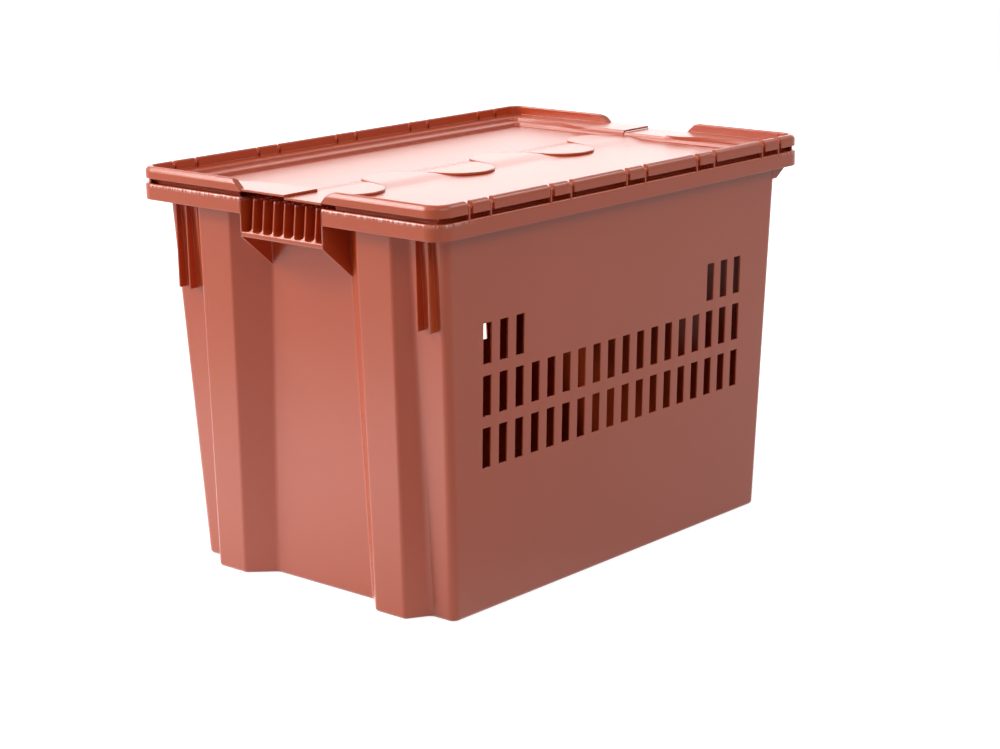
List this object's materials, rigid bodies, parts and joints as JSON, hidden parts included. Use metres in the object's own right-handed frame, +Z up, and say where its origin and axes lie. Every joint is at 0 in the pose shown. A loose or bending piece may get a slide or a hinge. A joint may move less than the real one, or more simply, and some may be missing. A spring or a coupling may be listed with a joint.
{
  "type": "lidded produce storage bin",
  "caption": "Tall vented plastic bin for potatoes and other produce: a tapered crate with fluted ends and ribbed handles, and an attached lid of two interlocking flaps hinged on the long sides.",
  "frame": {"origin": "centre of the base, on the ground", "axes": "+X along the long side, +Y across, towards the back flap's hinge, +Z up"},
  "size_m": [0.6, 0.43, 0.43],
  "materials": {
    "crate_plastic": "injection-moulded polyethylene, terracotta, smooth with a soft gloss",
    "lid_plastic": "injection-moulded polyethylene, terracotta, smooth with a soft gloss",
    "rod_steel": "bright drawn steel wire"
  },
  "bodies": {
    "crate": {"crate_body": "crate_plastic", "hinge_rod_front": "rod_steel", "hinge_rod_back": "rod_steel"},
    "front_flap": {"lid_flap_front": "lid_plastic"},
    "back_flap": {"lid_flap_back": "lid_plastic"}
  },
  "joints": [
    {"name": "front_flap_hinge", "type": "hinge", "parent": "crate", "child": "front_flap", "pos_m": [0, -0.211, 0.424], "axis": [1, 0, 0], "range_deg": [0, 220]},
    {"name": "back_flap_hinge", "type": "hinge", "parent": "crate", "child": "back_flap", "pos_m": [0, 0.211, 0.424], "axis": [-1, 0, 0], "range_deg": [0, 220]}
  ],
  "couplings": [
    {"joint": "back_flap_hinge", "follows": "front_flap_hinge", "ratio": 1}
  ]
}
